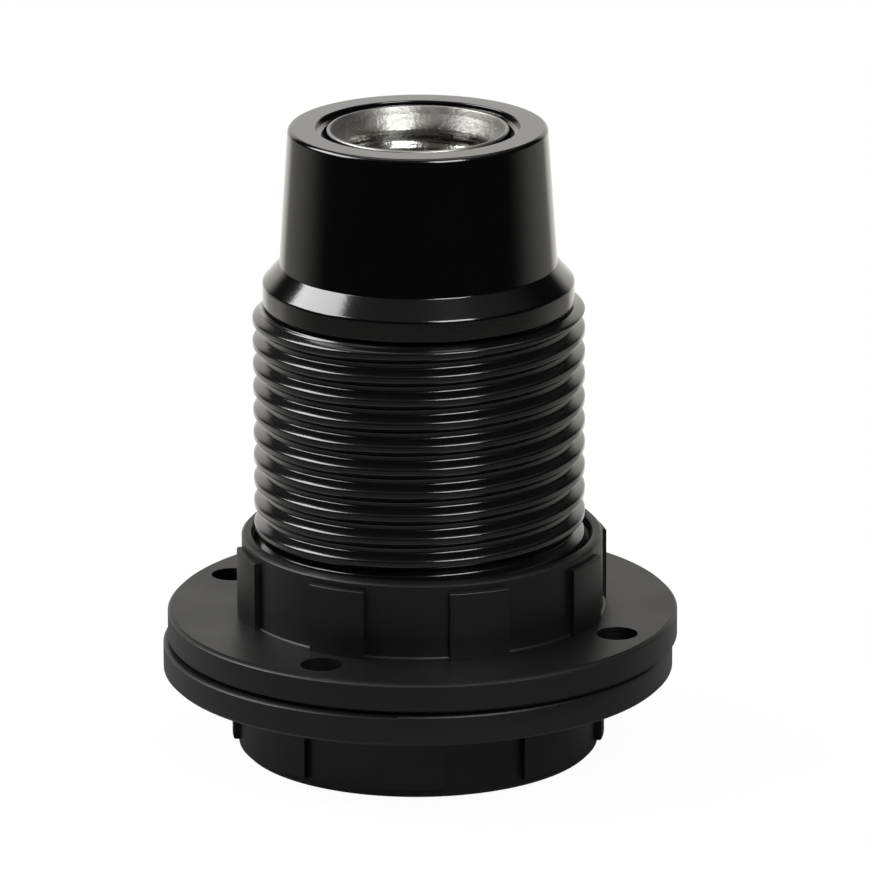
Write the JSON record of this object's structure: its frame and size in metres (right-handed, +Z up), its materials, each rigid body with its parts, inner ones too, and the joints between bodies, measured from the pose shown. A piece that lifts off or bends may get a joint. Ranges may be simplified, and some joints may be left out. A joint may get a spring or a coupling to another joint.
{
  "type": "lamp holder",
  "caption": "Small screw-cap lamp holder with a conical nose, a threaded barrel, two flanged shade rings and a base cap with a threaded entry bush.",
  "frame": {"origin": "middle of the base cap's bottom face, on the surface that the holder stands on", "axes": "+Z up along the holder's axis, the way the lamp points, +X to the right and +Y away from the viewer of the picture"},
  "size_m": [0.0436, 0.0432, 0.0545],
  "materials": {
    "gloss_black": "polished moulded phenolic",
    "matt_black": "moulded, slightly matt",
    "nickel": "bright nickel plate on sheet brass",
    "carrier_black": "moulded phenolic",
    "bronze": "rolled spring bronze",
    "rivet_brass": "plated",
    "brass": "machined",
    "steel": "zinc plated",
    "fibre": "vulcanised fibre"
  },
  "bodies": {
    "holder": {"nose": "gloss_black", "threaded_barrel": "gloss_black", "base_cap": "gloss_black", "entry_bush": "steel", "insulating_disc": "fibre", "contact_carrier": "carrier_black", "screw_shell": "nickel", "centre_rivet": "rivet_brass", "side_rivet": "rivet_brass", "front_shell_rivet": "rivet_brass", "back_shell_rivet": "rivet_brass", "live_terminal": "brass", "neutral_terminal": "brass", "live_wire_guard": "brass", "neutral_wire_guard": "brass"},
    "upper_ring": {"upper_shade_ring": "matt_black"},
    "lower_ring": {"lower_shade_ring": "matt_black"},
    "contact_tongue": {"centre_contact": "bronze"},
    "live_screw": {"live_terminal_screw": "steel"},
    "neutral_screw": {"neutral_terminal_screw": "steel"},
    "pipe_lock": {"lock_screw": "steel"}
  },
  "joints": [
    {"name": "upper_ring_climb", "type": "slide", "parent": "holder", "child": "upper_ring", "axis": [0, 0, 1], "range_m": [0, 0.018]},
    {"name": "lower_ring_turn", "type": "hinge", "parent": "holder", "child": "lower_ring", "pos_m": [-0.0002, 0, 0.0098], "axis": [0, 0, 1], "range_deg": [-72, 0]},
    {"name": "contact_press", "type": "slide", "parent": "holder", "child": "contact_tongue", "axis": [0, 0, 1], "range_m": [-0.0012, 0], "stiffness_N_per_m": 1500, "deforming": ["centre_contact"]},
    {"name": "live_screw_turn", "type": "hinge", "parent": "holder", "child": "live_screw", "pos_m": [0.009, 0, 0.0234], "axis": [1, 0, 0], "range_deg": [0, 280]},
    {"name": "neutral_screw_turn", "type": "hinge", "parent": "holder", "child": "neutral_screw", "pos_m": [-0.009, 0, 0.0234], "axis": [-1, 0, 0], "range_deg": [0, 280]},
    {"name": "lock_screw_turn", "type": "hinge", "parent": "holder", "child": "pipe_lock", "pos_m": [0, -0.007, 0.0065], "axis": [0, -1, 0], "range_deg": [-90, 540]}
  ]
}
